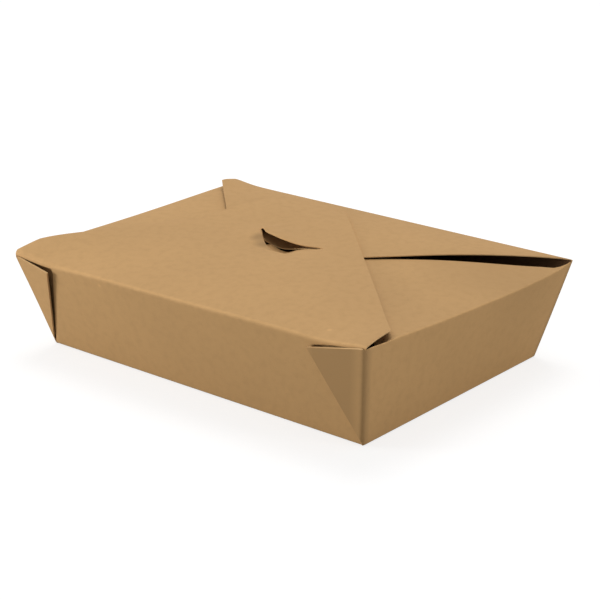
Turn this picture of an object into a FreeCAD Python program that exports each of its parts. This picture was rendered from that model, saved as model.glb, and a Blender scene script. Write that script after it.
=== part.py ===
import FreeCAD, Part
import os
import Sketcher
from FreeCAD import Placement, Rotation, Vector

# Folded board food box. The origin is the centre of the base on the table, X runs along
# the long walls, the front wall with the outermost flap faces -Y, and +Z is up.

doc = FreeCAD.newDocument("takeaway_box")

# Driving dimensions in millimetres and degrees
sizes = {
    # board and the room between layers that lie on each other
    "board": 0.45,
    "layer_room": 0.25,
    "fold_radius": 0.6,
    # tray, measured over its outer folds
    "height": 48,
    "top_length": 216,
    "top_width": 159,
    "base_length": 193,
    "base_width": 133,
    "rim_step": 0.6,
    # folded corner webs on the long walls, the front left one standing proud
    "gusset_reach": 28.9,
    "gusset_drop": 9.8,
    "gusset_foot": 1.4,
    "gusset_head": 1.2,
    "proud_angle": 5,
    # shape that the closed lid keeps
    "back_run": 49.5,
    "back_rise": 4.4,
    "side_rise": 3.6,
    "tip_room": 4,
    "ear_lift": 1.9,
    # outermost flap, hinged on the front wall
    "fold_inset": 1,
    "ear_inset": 3,
    "front_reach": 150,
    "left_ear": 14,
    "right_ear": 20,
    "knee_reach": 81.5,
    "knee_inset": 42,
    "tip_left_inset": 44.5,
    # back flap under it
    "back_left_ear": 14,
    "back_tip_left": 70,
    "back_tip_right": 78,
    "back_reach": 95.5,
    # side flaps under both
    "side_inset": 3,
    "side_ear": 14.5,
    "side_ear_inset": 5.5,
    "side_reach": 78,
    "side_tip_width": 14,
    # pressed-in lock, its slit placed from the back flap's tip
    "lock_shift": 4,
    "lock_width": 39,
    "lock_line": 21,
    "slit": 0.4,
    "tongue_reach": 15,
    "tongue_drop": 4,
    "lip_reach": 14,
    "lip_rise": 2.6,
    "slot_room": 0.5,
}

sheet = doc.addObject("Spreadsheet::Sheet", "Dims")
for row, (alias, size) in enumerate(sizes.items(), start=1):
    sheet.set(f"A{row}", alias)
    sheet.set(f"B{row}", str(size))
    sheet.setAlias(f"B{row}", alias)
doc.recompute()


def dim(name):
    """A driving dimension as the sheet holds it."""
    return float(sheet.get(name))


# Sizes that follow from the sheet, as expressions
HALF = "(Dims.top_length / 2)"
FRONT = "(-Dims.top_width / 2)"
BACK = "(Dims.top_width / 2)"
FLARE_X = "((Dims.top_length - Dims.base_length) / 2)"
FLARE_Y = "((Dims.top_width - Dims.base_width) / 2)"
CORNER_LENGTH = f"sqrt({FLARE_X}^2 + {FLARE_Y}^2 + Dims.height^2)"
WEB_DEPTH = "(2 * Dims.board + Dims.board / 2)"
RIM = "(Dims.height - Dims.rim_step)"
BACK_TOP = "(Dims.height + Dims.back_rise)"
BACK_LEVEL = f"({BACK} - Dims.back_run)"
BACK_TIP = f"({BACK} - Dims.back_reach)"
FRONT_TOP = f"({BACK_TOP} + Dims.board + Dims.layer_room)"
FRONT_LEVEL = f"({BACK_TIP} - Dims.tip_room)"
FRONT_TIP = f"({FRONT} + Dims.front_reach)"
LOCK_LEFT = "(-Dims.lock_shift - Dims.lock_width / 2)"
LOCK_RIGHT = "(-Dims.lock_shift + Dims.lock_width / 2)"
LOCK_LINE = f"({BACK_TIP} + Dims.lock_line)"
TONGUE_ROOT = f"({LOCK_LINE} - Dims.tongue_reach)"
LIP_ROOT = f"({LOCK_LINE} + Dims.lip_reach)"
THROUGH = "(2 * Dims.height)"


def plane(body, role):
    """One of a body's own origin planes."""
    return next(item for item in body.Origin.OriginFeatures if item.Role == role)


def new_body(name):
    return doc.addObject("PartDesign::Body", name)


def new_sketch(body, name, role, lift=None):
    """An empty sketch on an origin plane, lifted along its normal by an expression."""
    sketch = body.newObject("Sketcher::SketchObject", name)
    sketch.AttachmentSupport = (plane(body, role), [""])
    sketch.MapMode = "FlatFace"
    if lift:
        sketch.setExpression(".AttachmentOffset.Base.z", lift)
    return sketch


def place_point(sketch, piece, end, across, up):
    """Pins the end of a sketch piece to two expressions."""
    for kind, expression, axis in (("DistanceX", across, -2), ("DistanceY", up, -1)):
        value = float(sketch.evalExpression(expression))
        if abs(value) < 1e-9:
            sketch.addConstraint(Sketcher.Constraint("PointOnObject", piece, end, axis))
            continue
        index = sketch.addConstraint(Sketcher.Constraint(kind, -1, 1, piece, end, value))
        sketch.setExpression(f"Constraints[{index}]", expression)


def close_outline(sketch, steps):
    """Draws a closed outline. Each step is (x, y), or (x, y, bulge) for an arc to the
    next point whose middle lies that far to the left of the straight line."""
    def spot(step):
        return Vector(float(sketch.evalExpression(step[0])), float(sketch.evalExpression(step[1])), 0)

    spots = [spot(step) for step in steps]
    count = len(steps)
    pieces = []
    for i, step in enumerate(steps):
        start, stop = spots[i], spots[(i + 1) % count]
        if len(step) == 2:
            pieces.append((sketch.addGeometry(Part.LineSegment(start, stop), False), 1, 2))
            continue
        bulge = float(sketch.evalExpression(step[2]))
        run = stop - start
        left = Vector(-run.y, run.x, 0).normalize()
        middle = (start + stop) / 2 + left * bulge
        index = sketch.addGeometry(Part.Arc(start, middle, stop), False)
        # an arc's own ends run counterclockwise
        pieces.append((index, 2, 1) if bulge > 0 else (index, 1, 2))
    for i in range(count):
        here, after = pieces[i], pieces[(i + 1) % count]
        sketch.addConstraint(Sketcher.Constraint("Coincident", here[0], here[2], after[0], after[1]))
        place_point(sketch, here[0], here[1], steps[i][0], steps[i][1])
    for i, step in enumerate(steps):
        if len(step) == 2:
            continue
        after = steps[(i + 1) % count]
        half_run = f"(sqrt(({step[0]} - {after[0]})^2 + ({step[1]} - {after[1]})^2) / 2)"
        radius = f"(({half_run}^2 + ({step[2]})^2) / (2 * abs({step[2]})))"
        value = float(sketch.evalExpression(radius))
        index = sketch.addConstraint(Sketcher.Constraint("Radius", pieces[i][0], value))
        sketch.setExpression(f"Constraints[{index}]", radius)
    return sketch


def pad(body, sketch, name, length, midplane=False, backwards=False):
    feature = body.newObject("PartDesign::Pad", name)
    feature.Profile = sketch
    feature.setExpression("Length", length)
    feature.Midplane = midplane
    feature.Reversed = backwards
    body.Tip = feature
    return feature


def loft(body, sections, name, ruled):
    feature = body.newObject("PartDesign::AdditiveLoft", name)
    feature.Profile = sections[0]
    feature.Sections = sections[1:]
    feature.Ruled = ruled
    body.Tip = feature
    return feature


def cut(name, base, tool):
    feature = doc.addObject("Part::Cut", name)
    feature.Base = base
    feature.Tool = tool
    return feature


def fuse(name, pieces):
    feature = doc.addObject("Part::MultiFuse", name)
    feature.Shapes = pieces
    return feature


def plan_block(name, outline):
    """A block through the whole box over an outline in plan."""
    body = new_body(name)
    sketch = close_outline(new_sketch(body, name + "_plan", "XY_Plane"), outline)
    pad(body, sketch, name + "_block", THROUGH)
    return body


def box_outline(left, right, front, back):
    return [(left, front), (right, front), (right, back), (left, back)]


# Tray: floor and four flaring walls, with the rim set down where flaps lie on it
def wedge(body, kind, name, wall="0"):
    """A flaring block one wall in from the outside and one wall up. It leans up its own Y axis."""
    block = body.newObject(kind, name)
    block.AttachmentSupport = (plane(body, "XZ_Plane"), [""])
    block.MapMode = "FlatFace"
    for axis, size, flare in (("X", "length", FLARE_X), ("Z", "width", FLARE_Y)):
        top = f"(Dims.top_{size} / 2 - {wall})"
        base = f"(Dims.base_{size} / 2 + {flare} * {wall} / Dims.height - {wall})"
        for end, sign in (("min", "-"), ("max", "")):
            block.setExpression(axis + end, sign + base)
            block.setExpression(axis + "2" + end, sign + top)
    block.setExpression("Ymin", wall)
    block.setExpression("Ymax", "Dims.height")
    doc.recompute()
    return block


def make_tray():
    body = new_body("tray")
    block = wedge(body, "PartDesign::AdditiveWedge", "outer_form")
    edges = enumerate(block.Shape.Edges, start=1)
    floor_edges = [f"Edge{i}" for i, edge in edges if edge.BoundBox.ZMax < dim("board") / 2]
    rounding = body.newObject("PartDesign::Fillet", "base_folds")
    rounding.Base = (block, floor_edges)
    rounding.setExpression("Radius", "Dims.fold_radius")
    doc.recompute()
    body.Tip = wedge(body, "PartDesign::SubtractiveWedge", "hollow", "Dims.board")
    doc.recompute()
    half = f"({HALF} + Dims.board)"
    outer_front = f"({FRONT} - Dims.board)"
    for name, back_edge, depth in (
        ("whole_rim", f"({BACK} + Dims.board)", "Dims.board / 2"),
        ("front_and_side_rim", f"({BACK} - 2 * Dims.board)", "Dims.rim_step"),
    ):
        rim = new_sketch(body, name + "_outline", "XY_Plane", "Dims.height")
        close_outline(rim, box_outline(f"(-{half})", half, outer_front, back_edge))
        step = body.newObject("PartDesign::Pocket", name)
        step.Profile = rim
        step.setExpression("Length", depth)
        body.Tip = step
    return body


# Folded corner web: a triangle of two layers on the outside of a long wall
def make_gusset(name, side, end, proud):
    """side is -1 at the front and 1 at the back, end is -1 at the left and 1 at the right."""
    flare_x = (dim("top_length") - dim("base_length")) / 2
    flare_y = (dim("top_width") - dim("base_width")) / 2
    foot = Vector(end * dim("base_length") / 2, side * dim("base_width") / 2, 0)
    along = Vector(end * flare_x, side * flare_y, dim("height")).normalize()
    outward = Vector(0, side * dim("height"), -flare_y).normalize()
    across = outward.cross(along)
    inward = -end * side
    body = new_body(name)
    sketch = new_sketch(body, name + "_outline", "XZ_Plane")
    close_outline(sketch, [
        ("0", "Dims.gusset_foot"),
        (f"({inward} * Dims.gusset_reach)", f"({CORNER_LENGTH} - Dims.gusset_drop)"),
        ("0", f"({CORNER_LENGTH} - Dims.gusset_head)"),
    ])
    web = pad(body, sketch, name + "_layers", WEB_DEPTH, backwards=True)
    doc.recompute()

    def on_corner(edge):
        box = edge.BoundBox
        return max(abs(box.XMin), abs(box.XMax)) < 1e-3 and box.YMin > dim("board")

    edges = enumerate(web.Shape.Edges, start=1)
    rounding = body.newObject("PartDesign::Fillet", name + "_fold")
    rounding.Base = (web, [f"Edge{i}" for i, edge in edges if on_corner(edge)])
    rounding.setExpression("Radius", "Dims.fold_radius")
    body.Tip = rounding
    turn = Rotation(across, outward, along, "ZXY")
    lean = Rotation(Vector(0, 0, 1), inward * proud)
    body.Placement = Placement(foot - outward * dim("board") / 2, turn) * Placement(Vector(), lean)
    return body


# Lid flaps: each is a band that keeps the lid's arched shape, trimmed to the flap's outline
def straight_band(name, role, profile, width):
    band = new_body(name + "_band")
    sketch = close_outline(new_sketch(band, name + "_profile", role), profile)
    pad(band, sketch, name + "_sheet", width, midplane=True)
    return band


def trim(name, band, outline):
    panel = doc.addObject("Part::MultiCommon", name + "_panel")
    panel.Shapes = [band, plan_block(name + "_blank", outline)]
    return panel


def arc_bow(run, rise):
    """Height of an arc over its chord, for an arc that is level at one end."""
    chord = f"sqrt(({run})^2 + ({rise})^2)"
    radius = f"((({run})^2 + ({rise})^2) / (2 * ({rise})))"
    return f"({radius} - sqrt({radius}^2 - ({chord} / 2)^2))"


def front_profile(ear_lift):
    """Rises from the front fold, runs level over the middle and falls with the back flap.
    Towards its two ears the rise is fuller by ear_lift."""
    back_radius = ("((Dims.back_run^2 + Dims.back_rise^2) / (2 * Dims.back_rise)"
                   " + Dims.board + Dims.layer_room)")
    fall_run = f"({FRONT_TIP} - {BACK_LEVEL})"
    drop = f"({back_radius} - sqrt({back_radius}^2 - {fall_run}^2))"
    fall_bow = arc_bow(fall_run, drop)
    rise_bow = f"({arc_bow(f'({FRONT_LEVEL} - {FRONT})', f'({FRONT_TOP} - Dims.height)')} + {ear_lift})"
    return [
        (FRONT, "(Dims.height - Dims.board)", rise_bow),
        (FRONT_LEVEL, f"({FRONT_TOP} - Dims.board)"),
        (BACK_LEVEL, f"({FRONT_TOP} - Dims.board)", fall_bow),
        (FRONT_TIP, f"({FRONT_TOP} - Dims.board - {drop})"),
        (FRONT_TIP, f"({FRONT_TOP} - {drop})", f"(-{fall_bow})"),
        (BACK_LEVEL, FRONT_TOP),
        (FRONT_LEVEL, FRONT_TOP, f"(-{rise_bow})"),
        (FRONT, "Dims.height"),
    ]


def front_panel():
    band = new_body("front_band")
    sections = []
    for tag, place, ear_lift in (
        ("left", f"(-{HALF})", "Dims.ear_lift"),
        ("middle", None, "0"),
        ("right", HALF, "Dims.ear_lift"),
    ):
        sketch = new_sketch(band, f"front_{tag}_profile", "YZ_Plane", place)
        sections.append(close_outline(sketch, front_profile(ear_lift)))
    loft(band, sections, "front_sheet", ruled=False)
    ear = f"({HALF} - Dims.ear_inset)"
    slant = "(Dims.front_reach - Dims.right_ear)"
    return trim("front", band, [
        (f"(-{HALF} + Dims.fold_inset)", FRONT),
        (f"({HALF} - Dims.fold_inset)", FRONT),
        (ear, f"({FRONT} + Dims.right_ear)"),
        (f"({ear} - {slant})", FRONT_TIP),
        (f"(-{HALF} + Dims.tip_left_inset)", FRONT_TIP),
        (f"(-{HALF} + Dims.knee_inset)", f"({FRONT} + Dims.knee_reach)"),
        (f"(-{ear})", f"({FRONT} + Dims.left_ear)"),
    ])


def back_panel():
    fold = f"({BACK} - Dims.board / 4)"
    bow = arc_bow("(Dims.back_run - Dims.board / 4)", "Dims.back_rise")
    band = straight_band("back", "YZ_Plane", [
        (fold, "Dims.height", f"(-{bow})"),
        (BACK_LEVEL, BACK_TOP),
        (BACK_TIP, BACK_TOP),
        (BACK_TIP, f"({BACK_TOP} - Dims.board)"),
        (BACK_LEVEL, f"({BACK_TOP} - Dims.board)", bow),
        (fold, "(Dims.height - Dims.board)"),
    ], "Dims.top_length")
    ear = f"({HALF} - Dims.ear_inset)"
    left = f"(-{HALF} + Dims.back_tip_left)"
    right = f"({HALF} - Dims.back_tip_right)"
    return trim("back", band, [
        (ear, BACK),
        (f"(-{HALF} + Dims.fold_inset)", BACK),
        (f"(-{ear})", f"({BACK} - Dims.back_left_ear)"),
        (left, f"({BACK} - Dims.back_left_ear - ({left} + {ear}))"),
        (left, BACK_TIP),
        (right, BACK_TIP),
        (right, f"({BACK} - ({ear} - {right}))"),
    ])


def side_panel(name, end):
    """A side flap, on the left for end -1 and on the right for end 1."""
    fold = f"({end} * ({HALF} - {FLARE_X} / Dims.height * Dims.rim_step))"
    tip = f"({end} * ({HALF} - Dims.side_reach))"
    top = f"({RIM} + Dims.side_rise)"
    bow = arc_bow("Dims.side_reach", "Dims.side_rise")
    band = straight_band(name, "XZ_Plane", [
        (fold, RIM, f"(-{end} * {bow})"),
        (tip, top),
        (tip, f"({top} - Dims.board)", f"({end} * {bow})"),
        (fold, f"({RIM} - Dims.board)"),
    ], "Dims.top_width")
    ear = f"({end} * ({HALF} - Dims.side_ear_inset))"
    return trim(name, band, [
        (fold, f"({FRONT} + Dims.side_inset)"),
        (fold, f"({BACK} - Dims.side_inset)"),
        (ear, f"({BACK} - Dims.side_ear)"),
        (tip, "(Dims.side_tip_width / 2)"),
        (tip, "(-Dims.side_tip_width / 2)"),
        (ear, f"({FRONT} + Dims.side_ear)"),
    ])


# Lock: the tongue is pressed down in front of a slit and the lip behind it arches up
def bowed_strip(name, root, edge, bow):
    """Loft from a straight cross-section at root to one at edge whose middle is bowed."""
    body = new_body(name)
    low = f"({FRONT_TOP} - Dims.board)"
    straight = box_outline(LOCK_LEFT, LOCK_RIGHT, low, FRONT_TOP)
    bowed = list(straight)
    bowed[0] += (bow,)
    bowed[2] += (f"(-({bow}))",)
    sections = []
    for tag, line, outline in (("root", root, straight), ("edge", edge, bowed)):
        sketch = new_sketch(body, f"{name}_{tag}", "XZ_Plane", f"(-{line})")
        sections.append(close_outline(sketch, outline))
    loft(body, sections, name + "_sheet", ruled=True)
    return body


def make_carton():
    webs = []
    for depth, side in (("front", -1), ("back", 1)):
        for hand, end in (("left", -1), ("right", 1)):
            proud = dim("proud_angle") if (side, end) == (-1, -1) else 0
            webs.append(make_gusset(f"{depth}_{hand}_web", side, end, proud))
    slot = plan_block("tongue_slot", box_outline(
        f"({LOCK_LEFT} - Dims.slot_room)", f"({LOCK_RIGHT} + Dims.slot_room)",
        f"({TONGUE_ROOT} + Dims.slot_room)", f"({LOCK_LINE} + Dims.slot_room)"))
    back = cut("back_flap", back_panel(), slot)
    return fuse("carton", [make_tray(), *webs, back, side_panel("left", -1), side_panel("right", 1)])


def make_front_flap():
    window = plan_block("lock_window", box_outline(LOCK_LEFT, LOCK_RIGHT, TONGUE_ROOT, LIP_ROOT))
    panel = cut("opened_panel", front_panel(), window)
    tongue = bowed_strip("tongue", TONGUE_ROOT, f"({LOCK_LINE} - Dims.slit / 2)", "(-Dims.tongue_drop)")
    lip = bowed_strip("lip", LIP_ROOT, f"({LOCK_LINE} + Dims.slit / 2)", "Dims.lip_rise")
    return fuse("front_flap", [panel, tongue, lip])


nodes = [make_carton(), make_front_flap()]
doc.recompute()

for item in doc.Objects:
    if {"Invalid", "Error"} & set(item.State):
        raise RuntimeError(f"{item.Label} failed: {item.State}")

os.makedirs("parts", exist_ok=True)
for node in nodes:
    shape = node.Shape
    if shape.isNull() or not shape.isValid():
        raise RuntimeError(f"{node.Label} has no valid shape")
    print(node.Label, "solids", len(shape.Solids), "volume", round(shape.Volume, 1), "box", shape.BoundBox)
    shape.exportStep(f"parts/{node.Label}.step")
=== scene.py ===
import math

import bmesh
import bpy
import numpy as np
from mathutils import Matrix, Vector


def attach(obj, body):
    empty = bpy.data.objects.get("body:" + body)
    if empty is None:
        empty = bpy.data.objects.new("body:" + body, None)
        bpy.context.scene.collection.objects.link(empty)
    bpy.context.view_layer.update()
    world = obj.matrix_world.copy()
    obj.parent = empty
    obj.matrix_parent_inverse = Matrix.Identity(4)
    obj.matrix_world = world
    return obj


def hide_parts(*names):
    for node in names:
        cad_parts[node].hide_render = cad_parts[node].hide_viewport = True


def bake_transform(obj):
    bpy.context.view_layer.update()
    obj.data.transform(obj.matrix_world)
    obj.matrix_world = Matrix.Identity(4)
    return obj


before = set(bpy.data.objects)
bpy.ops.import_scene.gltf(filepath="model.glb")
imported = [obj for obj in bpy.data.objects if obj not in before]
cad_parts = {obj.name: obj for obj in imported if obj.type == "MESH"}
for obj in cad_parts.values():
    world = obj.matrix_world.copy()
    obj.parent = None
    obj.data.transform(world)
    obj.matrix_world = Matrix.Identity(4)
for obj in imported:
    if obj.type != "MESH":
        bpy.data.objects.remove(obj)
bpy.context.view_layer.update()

# Sizes in millimetres, as in the frame. Meshes are scaled to metres when they are made.
MM = 0.001
HEIGHT = 48.0
BASE = (96.5, 66.5)
TOP = (107.85, 79.5)
BOARD = 0.45
BASE_FOLD = 0.8
TOP_FOLD = 1.0
FRONT_FOLD = 1.5

# Level on the front wall where the front flap's own piece takes over from the wall's
SEAM = 44.0

# Folded corner webs on the long walls: (reach from the corner, level of the free point, room
# under the web at the corner, angle it stands off at)
NEAR_WEB = (30.0, 41.6, 0.95, math.radians(3.0))
LOOSE_WEB = (24.0, 44.3, 0.6, math.radians(6.2))
BACK_WEB = (30.0, 41.6, 0.45, 0.0)
WEB_FOOT = 1.2
WEB_LAYERS = 1.9
CORNER_FOLD = 2.0

# The front wall gives way behind the two webs: how deep, the heights of the webs' free points
# and of the near corner, and where the near web's stretch of the wall starts
POCKET = 2.6
LOOSE_POINT, NEAR_POINT, NEAR_CORNER = 43.7, 44.5, 51.3
NEAR_END = 76.0

# Heights of the two worn top folds along their length: (place along the fold, height)
FRONT_FOLD_LINE = ((-108, 47.6), (-88, 46.4), (-50, 47.4), (0, 48.1), (60, 49.2), (85, 49.4), (108, 51.6))
RIGHT_FOLD_LINE = ((-80, 51.3), (-62, 50.2), (-28, 48.1), (0, 46.9), (45, 45.8), (66, 46.4), (80, 48.2))

# Lid flaps: level of each flat middle, then the arches as (where the arch starts, its radius)
FRONT_LEVEL, BACK_LEVEL, SIDE_LEVEL = 53.1, 52.4, 51.0
FRONT_ARCH, TIP_ARCH = (20, 349.6), (30, 281.3)
BACK_ARCH, SIDE_ARCH = (30, 280.6), (30, 846.8)

# Edges of the lid flaps: (distance from the fold, place across)
FRONT_LEFT_EDGE = ((0, -107.8), (14, -105), (81.5, -66), (150, -63.5))
FRONT_RIGHT_EDGE = ((0, 107.4), (20, 105), (150, -25))
BACK_LEFT_EDGE = ((0, -107), (14, -105), (81, -38), (95.5, -38))
BACK_RIGHT_EDGE = ((0, 107.2), (2.5, 102.9), (75, 30), (95.5, 30))
SIDE_EDGE = ((0, TOP[1] - 3), (5.5, TOP[1] - 14.5), (78, 7))

# Lock in the middle of the lid. Across it: the slit's place, the line where the tongue starts
# to fall, how deep it is pressed, over what run it falls, and how far the lip behind stands up
LOCK_LEFT, LOCK_RIGHT = -27.5, 15.5
LOCK_LINE = 5.0
SLIT = ((-27.5, 8.4), (-20, 5.2), (-12, 3.2), (-4, 2.9), (4, 3.9), (15.5, 6.6))
DENT_FRONT = ((-27.5, 9), (-24.5, 6.6), (-20, 2.1), (-15.4, -2.3), (-9.8, -6.3), (-3.2, -9.5),
              (1.4, -9.9), (5.3, -8.5), (10.8, -4), (14.2, 0), (15.5, 5.5))
DENT_DEPTH = ((-27.5, 0), (-26, 3), (-15, 4.5), (-4, 4.9), (1, 2.8), (6, 1.5), (12, 0.8), (15.5, 0))
DENT_RUN = ((-27.5, 1.0), (-15, 1.4), (-6, 4.5), (2, 6), (15.5, 6))
LIP_LIFT = ((-27.5, 0), (-25.8, 1.05), (-20.5, 0.65), (-12.6, 0.95), (-6, 0.85), (0.7, 0.35),
            (8, 0.15), (15.5, 0))


def along(line, at):
    """Smooth curve through a few (place, value) pairs, level at its ends."""
    place, value = np.array(line, float).T
    slope = np.gradient(value, place)
    slope[0] = slope[-1] = 0
    at = np.clip(at, place[0], place[-1])
    i = np.clip(np.searchsorted(place, at, side="right") - 1, 0, len(place) - 2)
    step = place[i + 1] - place[i]
    t = (at - place[i]) / step
    start = (1 + 2 * t) * (1 - t) ** 2 * value[i] + t * (1 - t) ** 2 * step * slope[i]
    stop = t * t * (3 - 2 * t) * value[i + 1] + t * t * (t - 1) * step * slope[i + 1]
    return start + stop


def straight(line, at):
    """Straight runs through a few (place, value) pairs."""
    place, value = np.array(line, float).T
    return float(np.interp(at, place, value))


def ease(t):
    t = np.clip(t, 0, 1)
    return t * t * (3 - 2 * t)


def bump(x, y, centre, spread):
    return np.exp(-(((x - centre[0]) / spread[0]) ** 2 + ((y - centre[1]) / spread[1]) ** 2))


def arch_drop(place, arch):
    """How far an arch has fallen at a place: none before its start, and round after it."""
    start, radius = arch
    run = np.clip(place - start, 0, radius)
    return radius - np.sqrt(radius**2 - run**2)


def half_size(level, axis):
    """Half the tray's length (axis 0) or width (axis 1) over its outer faces at a level."""
    level = np.clip(level, 0, HEIGHT)
    low = np.clip(BASE_FOLD - level, 0, None)
    inset = BASE_FOLD - np.sqrt(BASE_FOLD**2 - low**2)
    return BASE[axis] + (TOP[axis] - BASE[axis]) * level / HEIGHT - inset


def points(x, y, z):
    return np.stack(np.broadcast_arrays(x, y, z), axis=-1).astype(float)


def rounded(before, after, past, reach):
    """Joins two faces that meet where past is 0 with a fold that is rounded over that reach."""
    t = np.clip((past + reach) / (2 * reach), 0, 1)[..., None]
    a = before(np.minimum(past, -reach))
    corner = before(np.zeros_like(past))
    b = after(np.maximum(past, reach))
    return a * (1 - t) ** 2 + 2 * t * (1 - t) * corner + b * t**2


# Lid heights over the plan
def front_flap_height(x, y, beyond):
    """beyond is 1 behind the lock's slit and 0 in front of it."""
    arches = arch_drop(-y, FRONT_ARCH) + arch_drop(y, TIP_ARCH)
    fold = (along(FRONT_FOLD_LINE, x) - HEIGHT) * (1 - ease((y + TOP[1]) / 45))
    ear = 2.4 * bump(x, y, (-107, -62), (30, 22))
    z = FRONT_LEVEL - arches + fold + ear
    # Pressed-in lock
    swell = 1.3 * bump(x, y, (-20, 8), (13, 10)) - 1.1 * bump(x, y, (-2, -8), (14, 7))
    past = np.clip(y - along(DENT_FRONT, x), 0, None) / along(DENT_RUN, x)
    tongue = along(DENT_DEPTH, x) * (1 - np.exp(-past**1.5))
    lip = along(LIP_LIFT, x) * np.exp(-(np.clip(y - along(SLIT, x), 0, None) / 9) ** 2)
    return z + swell + np.where(beyond > 0, lip, -tongue)


def slit_bend(x, y):
    """How far the flat blank's rows shift to follow the curved slit."""
    beside = ease((x + 36) / 8) * ease((24 - x) / 8)
    return (along(SLIT, x) - LOCK_LINE) * beside * np.exp(-((y - LOCK_LINE) / 8) ** 2)


def back_flap_height(x, y):
    z = BACK_LEVEL - arch_drop(y, BACK_ARCH)
    ear = 2.4 * bump(x, y, (-109, 67), (14, 10)) + 1.0 * bump(x, y, (-108, 80), (10, 8))
    # Pressed down behind the slot by the tongue
    return z + ear - 4.8 * bump(x, y, (-11, 10), (13, 10))


def side_fold_height(y, end):
    if end > 0:
        return along(RIGHT_FOLD_LINE, y)
    return 47.6 - 0.3 * np.cos(y / 25) - 1.2 * ease((-71 - y) / 8.5)


def side_flap_height(x, y, end):
    z = SIDE_LEVEL - arch_drop(abs(x), SIDE_ARCH)
    nominal = HEIGHT - 0.6
    fold = (side_fold_height(y, end) - nominal) * (1 - ease((TOP[0] - abs(x)) / 50))
    if end > 0:
        # Both ears of the right flap droop into the box
        reach = np.clip(TOP[0] - x, 0, 6)
        fold = fold - 0.8 * reach * ease((-57 - y) / 7)
        fold = fold - 1.3 * ease(reach / 1.5) * ease((y - 64) / 6)
    return z + fold


def web_edge(level, reach, point):
    """How far from the corner a web's slanted edge lies at a level."""
    return reach * np.clip((level - WEB_FOOT) / (point - WEB_FOOT), 0, 1)


def pocket(x, z, fold):
    """How far the front wall gives way behind the webs, whose free edges stand off it."""
    corner = half_size(z, 0)
    loose_edge = web_edge(z, LOOSE_WEB[0], LOOSE_POINT) - corner
    loose = ease((loose_edge + 0.7 - x) / 1.2)
    near_edge = corner - web_edge(z, NEAR_WEB[0], NEAR_POINT)
    rim = NEAR_CORNER - (NEAR_CORNER - NEAR_POINT) * (corner - x) / NEAR_WEB[0]
    near = ease((x - near_edge - 0.8) / 2) * ease((rim + 1.0 - z) / 0.9)
    return POCKET * (loose + near) * ease((fold - z - 1.35) / 1.2) * ease((z - 1.5) / 3.5)


# Meshes
def key_columns(keys, counts):
    """Evenly spaced places between the key columns of one row."""
    spots = [np.linspace(a, b, n, endpoint=False) for a, b, n in zip(keys, keys[1:], counts)]
    return np.concatenate(spots + [[keys[-1]]])


def make_sheet(name, rows, keys, counts, surface, thickness=None, skip=None):
    """A sheet of board from rows across its flat blank.

    Each row is (place, beyond): beyond is 1 behind a slit, and a row is given twice at the slit.
    keys gives a row's key columns, counts the cells between them, and skip says which are cut
    away. surface gives the outer face for (across, place, beyond)."""
    place = np.array([row[0] for row in rows], float)
    beyond = np.array([row[1] for row in rows], float)
    across = np.array([key_columns(keys(v), counts) for v in place])
    v = np.repeat(place[:, None], across.shape[1], axis=1)
    far = np.repeat(beyond[:, None], across.shape[1], axis=1)
    outer = surface(across, v, far)
    depth = np.full(v.shape, BOARD) if thickness is None else thickness(across, v)
    section = np.repeat(np.arange(len(counts)), counts)

    mesh = bpy.data.meshes.new(name)
    bm = bmesh.new()
    blank = bm.loops.layers.uv.new("blank")
    at = {}
    spot = {}
    thick = {}
    for r in range(v.shape[0]):
        for c in range(v.shape[1]):
            vert = bm.verts.new(outer[r, c] * MM)
            at[r, c] = vert
            spot[vert] = (across[r, c] * MM, v[r, c] * MM)
            thick[vert] = depth[r, c] * MM
    for r in range(v.shape[0] - 1):
        if place[r] == place[r + 1]:
            continue
        middle = (place[r] + place[r + 1]) / 2
        for c in range(v.shape[1] - 1):
            if skip and skip(section[c], middle):
                continue
            bm.faces.new((at[r, c], at[r, c + 1], at[r + 1, c + 1], at[r + 1, c]))
    loose = [vert for vert in bm.verts if not vert.link_faces]
    bmesh.ops.delete(bm, geom=loose, context="VERTS")
    face_outwards(bm)
    weld(bm)
    thicken(bm, spot, thick)
    for face in bm.faces:
        face.smooth = True
        for loop in face.loops:
            loop[blank].uv = spot[loop.vert]
    bm.to_mesh(mesh)
    bm.free()
    mesh.set_sharp_from_angle(angle=math.radians(48))
    piece = bpy.data.objects.new(name, mesh)
    bpy.context.scene.collection.objects.link(piece)
    return piece


def face_outwards(bm):
    """Turns the outer skin's faces away from the middle of the box."""
    bm.normal_update()
    centre = Vector((0, 0, HEIGHT / 2 * MM))
    outward = sum(f.normal.dot(f.calc_center_median() - centre) * f.calc_area() for f in bm.faces)
    if outward < 0:
        bmesh.ops.reverse_faces(bm, faces=bm.faces[:])


def weld(bm):
    """Joins the two sides of a slit where they still touch."""
    seen = {}
    targets = {}
    for vert in bm.verts:
        key = tuple(round(value * 1e6) for value in vert.co)
        if key in seen:
            targets[vert] = seen[key]
        else:
            seen[key] = vert
    bmesh.ops.weld_verts(bm, targetmap=targets)


def thicken(bm, spot, thick):
    """Adds the lining (material slot 2) and the cut rims (slot 1) to the outer skin (slot 0)."""
    bm.normal_update()
    faces = bm.faces[:]
    rims = [edge for edge in bm.edges if edge.is_boundary]
    inner = {}
    for vert in bm.verts[:]:
        inner[vert] = bm.verts.new(vert.co - vert.normal * thick[vert])
        spot[inner[vert]] = spot[vert]
    for face in faces:
        lining = bm.faces.new([inner[vert] for vert in reversed(face.verts)])
        lining.material_index = 2
    for edge in rims:
        loop = edge.link_loops[0]
        a, b = loop.vert, loop.link_loop_next.vert
        rim = bm.faces.new((b, a, inner[a], inner[b]))
        rim.material_index = 1


def spaced(start, stop, step):
    count = max(1, round((stop - start) / step))
    return list(np.linspace(start, stop, count + 1))


def fold_rows(at, reach, cells=8):
    return list(np.linspace(at - reach, at + reach, cells + 1))


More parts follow.
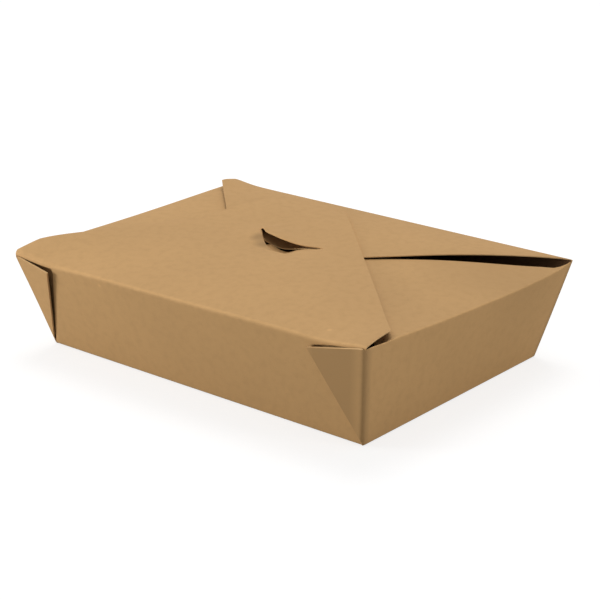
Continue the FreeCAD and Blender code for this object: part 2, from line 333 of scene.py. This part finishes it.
def plain_rows(places):
    return [(place, 0) for place in sorted(set(round(p, 4) for p in places))]


# Rows over the rounded bottom fold
BASE_ROWS = [0, 0.02, 0.08, 0.2, 0.35, 0.55, 0.8]


# Short wall with the webs at its two edges and its flap, one sheet for each end
def make_short_side(name, end):
    """end is -1 for the left side and 1 for the right."""
    half = TOP[1]
    flap_half, knee, flap_reach = SIDE_EDGE[0][1], SIDE_EDGE[1][0], SIDE_EDGE[2][0]
    front_web = LOOSE_WEB if end < 0 else NEAR_WEB

    def stand(u):
        return np.where(u < 0, front_web[2], BACK_WEB[2])

    def wall(u, v):
        y = u / half * (half_size(v, 1) + stand(u))
        z = v / HEIGHT * side_fold_height(y, end)
        return points(end * half_size(v, 0), y, z)

    def flap(u, s):
        x = end * (TOP[0] - s)
        y = u * (half + stand(u)) / half
        return points(x, y, side_flap_height(x, y, end))

    def column(u, v):
        return rounded(lambda s: wall(u, HEIGHT + s), lambda s: flap(u, s), v - HEIGHT, TOP_FOLD)

    def web(side, s, v):
        corner = column(side * half, v)
        angle = np.where(side < 0, front_web[3], BACK_WEB[3])
        corner[..., 0] -= end * s * np.cos(angle)
        corner[..., 1] += side * s * np.sin(angle)
        return corner

    def surface(u, v, beyond):
        side = np.where(u < 0, -1.0, 1.0)
        return rounded(
            lambda s: column(side * (half + s), v),
            lambda s: web(side, s, v),
            abs(u) - half,
            CORNER_FOLD,
        )

    def web_width(v, web):
        reach, point = web[:2]
        falling = reach * (HEIGHT - v) / (HEIGHT - point)
        return max(0.0, min(float(web_edge(v, reach, point)), falling))

    def keys(v):
        if v > HEIGHT:
            edge = straight(SIDE_EDGE, v - HEIGHT)
            return [-edge - 6, -edge - 4, -edge - 2, -edge, edge, edge + 2, edge + 4, edge + 6]
        front, back = web_width(v, front_web), web_width(v, BACK_WEB)
        inner = half - CORNER_FOLD
        return [-half - front, -half - min(CORNER_FOLD, front), -inner, -flap_half,
                flap_half, inner, half + min(CORNER_FOLD, back), half + back]

    def skip(section, v):
        return v > HEIGHT and section != 3

    def thickness(u, v):
        return np.where(abs(u) > half + CORNER_FOLD, WEB_LAYERS * BOARD, BOARD)

    rows = BASE_ROWS + [WEB_FOOT] + spaced(WEB_FOOT + 0.8, BACK_WEB[1], 2.0)
    rows += spaced(BACK_WEB[1], LOOSE_WEB[1], 0.9) + spaced(LOOSE_WEB[1], HEIGHT - TOP_FOLD, 0.9)
    rows += fold_rows(HEIGHT, TOP_FOLD)
    rows += spaced(HEIGHT + TOP_FOLD, HEIGHT + knee, 1.5)
    rows += spaced(HEIGHT + knee, HEIGHT + flap_reach, 2.4)
    counts = (14, 6, 2, 60, 2, 6, 14)
    return make_sheet(name, plain_rows(rows), keys, counts, surface, thickness, skip)


# Long walls: the front one ends below the front flap's piece, the back one carries its flap
def long_wall_face(side, fold_line, give=None):
    def face(u, v):
        fold = fold_line(u)
        x, z = u / TOP[0] * half_size(v, 0), v / HEIGHT * fold
        room = give(x, z, fold) if give else 0
        return points(x, side * (half_size(v, 1) - room), z)
    return face


def front_fold_height(x):
    return along(FRONT_FOLD_LINE, x)


def back_fold_height(x):
    return back_flap_height(x, TOP[1])


def pocket_columns(v):
    """Two columns of the front wall that follow the loose web's slanted edge."""
    blank_point = 45.0
    reach = float(web_edge(v * LOOSE_POINT / blank_point, LOOSE_WEB[0], LOOSE_POINT))
    edge = TOP[0] * (reach / float(half_size(v, 0)) - 1)
    first = max(edge - 0.5, 1.0 - TOP[0])
    return [first, first + 1.2]


def make_front_wall():
    """Ends at the seam, but reaches up to the fold behind the two webs."""
    face = long_wall_face(-1, front_fold_height, pocket)
    wide = TOP[0] - 0.5

    def surface(u, v, beyond):
        return face(u, v)

    def keys(v):
        return [-wide, *pocket_columns(v), NEAR_END, wide]

    def skip(section, v):
        return section == 2 and v > SEAM

    rows = BASE_ROWS + spaced(0.8, 40, 1.6) + spaced(40, SEAM, 0.5)
    rows += spaced(SEAM, HEIGHT - FRONT_FOLD, 0.5)
    return make_sheet("front_wall", plain_rows(rows), keys, (12, 4, 62, 40), surface, skip=skip)


def make_back_side():
    face = long_wall_face(1, back_fold_height)
    slot = (LOCK_LEFT - 0.5, LOCK_RIGHT + 1)
    slot_front, slot_back = TOP[1] + 9.5, TOP[1] - 5.0

    def flap(u, s):
        y = TOP[1] - s
        return points(u, y, back_flap_height(u, y))

    def surface(u, v, beyond):
        return rounded(lambda s: face(u, HEIGHT + s), lambda s: flap(u, s), v - HEIGHT, TOP_FOLD)

    def keys(v):
        s = v - HEIGHT
        if s <= 0:
            return [-TOP[0] + 0.5, *slot, TOP[0] - 0.5]
        return [straight(BACK_LEFT_EDGE, s), *slot, straight(BACK_RIGHT_EDGE, s)]

    def skip(section, v):
        return section == 1 and slot_back < v - HEIGHT < slot_front

    rows = BASE_ROWS + spaced(0.8, HEIGHT - TOP_FOLD, 3.0) + fold_rows(HEIGHT, TOP_FOLD)
    knees = {distance for distance, across in BACK_LEFT_EDGE + BACK_RIGHT_EDGE[2:] if distance}
    stops = sorted(knees | {TOP_FOLD, slot_back, slot_front})
    for a, b in zip(stops, stops[1:]):
        rows += spaced(HEIGHT + a, HEIGHT + b, 2.2)
    return make_sheet("back_wall_and_flap", plain_rows(rows), keys, (36, 18, 40), surface, skip=skip)


def make_floor():
    def surface(u, v, beyond):
        return points(u, v, 0 * u)

    x, y = half_size(0, 0), half_size(0, 1)
    rows = plain_rows(spaced(-y, y, 6))
    return make_sheet("floor", rows, lambda v: [-x, x], (30,), surface)


# Front flap: from the seam in the front wall, over the fold, to its tip
def make_front_flap():
    face = long_wall_face(-1, front_fold_height)
    reach = FRONT_LEFT_EDGE[-1][0]
    corner_end, lock_end = 25.0, 99.5

    def flap(u, s, beyond):
        y = s - TOP[1]
        y = y + slit_bend(u, y)
        return points(u, y, front_flap_height(u, y, beyond))

    def surface(u, v, beyond):
        past = v - HEIGHT
        return rounded(lambda s: face(u, HEIGHT + s), lambda s: flap(u, s, beyond), past, FRONT_FOLD)

    def keys(v):
        s = v - HEIGHT
        if s <= 0:
            lock = (LOCK_LEFT, LOCK_RIGHT)
            return [-TOP[0] + 0.1, *pocket_columns(v), *lock, NEAR_END, TOP[0] - 0.5]
        left, right = straight(FRONT_LEFT_EDGE, s), straight(FRONT_RIGHT_EDGE, s)
        # The lock's columns follow its ends, and spread over the narrow tip behind it
        share = float(np.clip((s - lock_end) / (reach - lock_end), 0, 1))
        third = (right - left) / 3
        first = LOCK_LEFT * (1 - share) + (left + third) * share
        second = LOCK_RIGHT * (1 - share) + (right - third) * share
        # The webs' columns start where they are on the wall, and soon spread over the flap
        leave = float(np.clip(s / corner_end, 0, 1))
        inner = [column * (1 - leave) + (left + (first - left) * part) * leave
                 for column, part in zip(pocket_columns(HEIGHT), (0.3, 0.36))]
        last = NEAR_END * (1 - leave) + (second + (right - second) * 0.8) * leave
        return [left, *inner, first, second, last, right]

    def skip(section, v):
        # Behind the webs the front wall's own sheet reaches up to the fold
        return section in (0, 1, 5) and v < HEIGHT - FRONT_FOLD

    slit = HEIGHT + TOP[1] + LOCK_LINE
    stops = ((SEAM, HEIGHT - FRONT_FOLD, 0.5), (HEIGHT + FRONT_FOLD, HEIGHT + 14, 1.6),
             (HEIGHT + 14, HEIGHT + 20, 1.5), (HEIGHT + 20, slit - 18, 2.5), (slit - 18, slit, 0.6))
    before = fold_rows(HEIGHT, FRONT_FOLD, 10)
    for a, b, step in stops:
        before += spaced(a, b, step)
    after = spaced(slit, slit + 14, 0.6) + spaced(slit + 14, HEIGHT + reach, 2.5)
    rows = plain_rows(before) + [(place, 1) for place in sorted(set(round(p, 4) for p in after))]
    counts = (12, 4, 34, 60, 34, 20)
    return make_sheet("front_flap_panel", rows, keys, counts, surface, skip=skip)


# Materials
def srgb(red, green, blue):
    """Linear colour of an 8-bit screen colour."""
    def linear(value):
        value /= 255
        return value / 12.92 if value <= 0.04045 else ((value + 0.055) / 1.055) ** 2.4
    return (linear(red), linear(green), linear(blue), 1)


def new_material(name):
    material = bpy.data.materials.new(name)
    material.use_nodes = True
    nodes, links = material.node_tree.nodes, material.node_tree.links
    nodes.clear()
    return material, nodes, links


def add_noise(nodes, links, vector, scale, stretch=(1, 1), turn=0.0, detail=3.0):
    """Noise over the flat blank: scale is in features per metre, stretch squeezes one way."""
    mapping = nodes.new("ShaderNodeMapping")
    mapping.inputs["Rotation"].default_value = (0, 0, turn)
    mapping.inputs["Scale"].default_value = (stretch[0], stretch[1], 1)
    noise = nodes.new("ShaderNodeTexNoise")
    noise.inputs["Scale"].default_value = scale
    noise.inputs["Detail"].default_value = detail
    links.new(vector, mapping.inputs["Vector"])
    links.new(mapping.outputs["Vector"], noise.inputs["Vector"])
    return noise.outputs["Fac"]


def add_tint(nodes, links, base, factor, colour, low, high, strength):
    """Mixes a colour into base where factor passes from low to high."""
    ramp = nodes.new("ShaderNodeMapRange")
    ramp.inputs["From Min"].default_value = low
    ramp.inputs["From Max"].default_value = high
    ramp.inputs["To Max"].default_value = strength
    mix = nodes.new("ShaderNodeMix")
    mix.data_type = "RGBA"
    mix.inputs["B"].default_value = colour
    links.new(factor, ramp.inputs["Value"])
    links.new(ramp.outputs["Result"], mix.inputs["Factor"])
    if isinstance(base, tuple):
        mix.inputs["A"].default_value = base
    else:
        links.new(base, mix.inputs["A"])
    return mix.outputs["Result"]


def fold_distance(nodes, links, vector, axis, place, mottle):
    """Distance on the flat blank from a fold line and its mirror, made uneven by the mottle."""
    split = nodes.new("ShaderNodeSeparateXYZ")
    links.new(vector, split.inputs["Vector"])
    result = split.outputs[axis]
    for operation, value in (("ABSOLUTE", 0), ("SUBTRACT", place * MM), ("ABSOLUTE", 0)):
        step = nodes.new("ShaderNodeMath")
        step.operation = operation
        step.inputs[1].default_value = value
        links.new(result, step.inputs[0])
        result = step.outputs[0]
    uneven = nodes.new("ShaderNodeMath")
    uneven.operation = "MULTIPLY_ADD"
    uneven.inputs[1].default_value = 0.0022
    links.new(mottle, uneven.inputs[0])
    links.new(result, uneven.inputs[2])
    return uneven.outputs[0]


def kraft(name, base, roughness, folds=(), scuffs_and_shade=()):
    """Brown kraft board: cloudy tone, crossing fibres and small specks.

    folds are lines of the flat blank as (axis, place, half width, tone, strength), and the spots after
    them are (across, place, radius, tone, strength); lines and spots hold wear as well as painted
    highlight and painted shade."""
    material, nodes, links = new_material(name)
    vector = nodes.new("ShaderNodeUVMap")
    vector.uv_map = "blank"
    vector = vector.outputs["UV"]
    clouds = add_noise(nodes, links, vector, 14, detail=2)
    mottle = add_noise(nodes, links, vector, 240, detail=4)
    long_fibre = add_noise(nodes, links, vector, 260, (1, 9), 0.12)
    cross_fibre = add_noise(nodes, links, vector, 300, (8, 1), 0.5)
    specks = add_noise(nodes, links, vector, 1100, detail=1)

    def toned(factor):
        return tuple(min(1, c * factor) for c in base[:3]) + (1,)

    colour = add_tint(nodes, links, base, clouds, toned(1.12), 0.4, 0.65, 0.4)
    colour = add_tint(nodes, links, colour, mottle, toned(0.78), 0.45, 0.8, 0.3)
    colour = add_tint(nodes, links, colour, long_fibre, toned(1.14), 0.56, 0.72, 0.3)
    colour = add_tint(nodes, links, colour, cross_fibre, toned(0.78), 0.58, 0.74, 0.25)
    colour = add_tint(nodes, links, colour, specks, toned(0.7), 0.68, 0.78, 0.35)
    # Bands along lines of the blank: worn folds with painted highlight, and painted shade at corners and
    # over webs
    for axis, place, width, tone, strength in folds:
        distance = fold_distance(nodes, links, vector, axis, place, mottle)
        colour = add_tint(nodes, links, colour, distance, toned(tone),
                          (width + 1.1) * MM, 1.1 * MM, strength)
    # Lighter and darker spots on the blank: some are wear, some painted shadow
    for across, place, radius, tone, strength in scuffs_and_shade:
        distance = nodes.new("ShaderNodeVectorMath")
        distance.operation = "DISTANCE"
        distance.inputs[1].default_value = (across * MM, place * MM, 0)
        links.new(vector, distance.inputs[0])
        colour = add_tint(nodes, links, colour, distance.outputs["Value"], toned(tone),
                          radius * MM, 0.3 * radius * MM, strength)

    height = nodes.new("ShaderNodeMath")
    height.operation = "ADD"
    links.new(long_fibre, height.inputs[0])
    links.new(mottle, height.inputs[1])
    relief = nodes.new("ShaderNodeBump")
    relief.inputs["Strength"].default_value = 0.25
    relief.inputs["Distance"].default_value = 0.0002
    links.new(height.outputs[0], relief.inputs["Height"])

    gloss = nodes.new("ShaderNodeMapRange")
    gloss.inputs["To Min"].default_value = roughness - 0.08
    gloss.inputs["To Max"].default_value = roughness + 0.1
    links.new(mottle, gloss.inputs["Value"])

    shader = nodes.new("ShaderNodeBsdfPrincipled")
    shader.inputs["Specular IOR Level"].default_value = 0.3
    links.new(colour, shader.inputs["Base Color"])
    links.new(gloss.outputs["Result"], shader.inputs["Roughness"])
    links.new(relief.outputs["Normal"], shader.inputs["Normal"])
    output = nodes.new("ShaderNodeOutputMaterial")
    links.new(shader.outputs["BSDF"], output.inputs["Surface"])
    return material


def stage_material(name, colour, lift):
    """Plain surface that the camera sees raised towards white, with the shadow kept."""
    material, nodes, links = new_material(name)
    diffuse = nodes.new("ShaderNodeBsdfDiffuse")
    diffuse.inputs["Color"].default_value = colour
    glow = nodes.new("ShaderNodeEmission")
    path = nodes.new("ShaderNodeLightPath")
    seen = nodes.new("ShaderNodeMath")
    seen.operation = "MULTIPLY"
    seen.inputs[1].default_value = lift
    links.new(path.outputs["Is Camera Ray"], seen.inputs[0])
    links.new(seen.outputs[0], glow.inputs["Strength"])
    both = nodes.new("ShaderNodeAddShader")
    links.new(diffuse.outputs["BSDF"], both.inputs[0])
    links.new(glow.outputs["Emission"], both.inputs[1])
    output = nodes.new("ShaderNodeOutputMaterial")
    links.new(both.outputs["Shader"], output.inputs["Surface"])
    return material


# Pieces on their bodies
KRAFT = srgb(200, 158, 105)
# Lighter band along the top fold: partly wear, partly painted highlight where the rounded fold catches
# the light
worn_fold_and_highlight = ("Y", HEIGHT, 1.2, 1.14, 0.4)
board_plain = kraft("kraft_board", KRAFT, 0.78, [worn_fold_and_highlight])
# On the front, the wider lighter band along the fold is wear and painted highlight; the three dark spots
# in front of the lock are painted shadow cast by the lock's raised lip; the two small light spots are
# wear
board_front = kraft("kraft_front", KRAFT, 0.78, [("Y", HEIGHT, 2.0, 1.22, 0.7)],
                    [(81, 57, 1.6, 1.3, 0.5), (-51, 43.9, 1.3, 1.3, 0.5), (-20, 127, 6, 0.5, 0.6),
                     (-13, 122.5, 6, 0.5, 0.6), (-5, 119, 5, 0.6, 0.45)])
# Darker band down the vertical corner folds: painted shade of the rounded, scored corner
corner_crease_shade = ("X", TOP[1] - 1, 4.2, 0.7, 0.9)
board_left = kraft("kraft_left_side", KRAFT, 0.78, [worn_fold_and_highlight, corner_crease_shade])
# On the right side, the wide darker band over the webs beside the corners is painted shade; the broad
# spot darkens the right flap towards the back
board_right = kraft("kraft_right_side", KRAFT, 0.78,
                    [worn_fold_and_highlight, corner_crease_shade, ("X", TOP[1] + 17, 16, 0.81, 2.5)],
                    [(45, 62, 48, 0.8, 0.5)])
board_cut = kraft("kraft_cut_edge", srgb(206, 168, 118), 0.9)
# The carton's inner face is a darker copy of the flap's lining: painted shade that keeps the insides and
# gaps dark
painted_shade_lining = kraft("kraft_lining_painted_shade", srgb(110, 77, 45), 0.6)
flap_lining = kraft("kraft_flap_lining", srgb(152, 113, 72), 0.6)

front_wall, flap_piece = make_front_wall(), make_front_flap()
floor, back_side = make_floor(), make_back_side()
left_side = make_short_side("left_wall_and_flap", -1)
right_side = make_short_side("right_wall_and_flap", 1)
outsides = {front_wall: board_front, flap_piece: board_front, floor: board_plain,
            back_side: board_plain, left_side: board_left, right_side: board_right}
for piece, outside in outsides.items():
    # Only the flap keeps the lining's own tone; the carton's lining is painted darker as shade
    lining = flap_lining if piece is flap_piece else painted_shade_lining
    for material in (outside, board_cut, lining):
        piece.data.materials.append(material)
carton_pieces = [piece for piece in outsides if piece is not flap_piece]
for piece in carton_pieces:
    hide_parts("carton")
    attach(piece, "carton")
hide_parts("front_flap")
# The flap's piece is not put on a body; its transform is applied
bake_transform(flap_piece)


# Stage, light and camera
def make_stage():
    bpy.ops.mesh.primitive_plane_add(size=12, location=(0, 0, -0.0002))
    floor = bpy.context.object
    floor.name = "floor_plane"
    floor.data.materials.append(stage_material("pale_floor", (0.35, 0.35, 0.35, 1), 0.75))


def make_world():
    world = bpy.data.worlds.new("studio")
    bpy.context.scene.world = world
    world.use_nodes = True
    nodes, links = world.node_tree.nodes, world.node_tree.links
    background = nodes["Background"]
    path = nodes.new("ShaderNodeLightPath")
    strength = nodes.new("ShaderNodeMapRange")
    strength.inputs["To Min"].default_value = 0.48
    strength.inputs["To Max"].default_value = 1.0
    links.new(path.outputs["Is Camera Ray"], strength.inputs["Value"])
    links.new(strength.outputs["Result"], background.inputs["Strength"])
    background.inputs["Color"].default_value = (1, 1, 1, 1)


def add_lamp(name, place, size, power):
    """Square soft lamp aimed at the middle of the box."""
    light = bpy.data.lights.new(name, "AREA")
    light.size = size
    light.energy = power
    lamp = bpy.data.objects.new(name, light)
    lamp.location = place
    aim = Vector((0, 0, 0.02)) - Vector(place)
    lamp.rotation_euler = aim.to_track_quat("-Z", "Y").to_euler()
    bpy.context.scene.collection.objects.link(lamp)


def make_camera():
    """Camera found from the box's corners in the photograph."""
    azimuth, elevation, roll = math.radians(40.31), math.radians(19.89), math.radians(-0.48)
    distance, shift_right, shift_up = 0.845, 0.00388, 0.00057
    back = Vector((math.sin(azimuth) * math.cos(elevation),
                   -math.cos(azimuth) * math.cos(elevation),
                   math.sin(elevation)))
    right = (-back).cross(Vector((0, 0, 1))).normalized()
    up = right.cross(-back)
    right_rolled = right * math.cos(roll) + up * math.sin(roll)
    up_rolled = up * math.cos(roll) - right * math.sin(roll)
    place = Vector((0, 0, 0.025)) + back * distance + right * shift_right + up * shift_up
    data = bpy.data.cameras.new("camera")
    data.sensor_width = 36
    data.lens = 105.1
    camera = bpy.data.objects.new("camera", data)
    turn = Matrix((right_rolled, up_rolled, back)).transposed()
    camera.matrix_world = Matrix.Translation(place) @ turn.to_4x4()
    bpy.context.scene.collection.objects.link(camera)
    bpy.context.scene.camera = camera


make_stage()
make_world()
add_lamp("key", (-0.35, 0.5, 1.4), 0.8, 8.4)
add_lamp("front", (-0.85, -0.78, 0.18), 0.34, 7.3)
add_lamp("side", (1.2, 0.3, 0.22), 0.34, 3.75)
make_camera()
bpy.context.scene.view_settings.view_transform = "Standard"

bpy.context.view_layer.update()
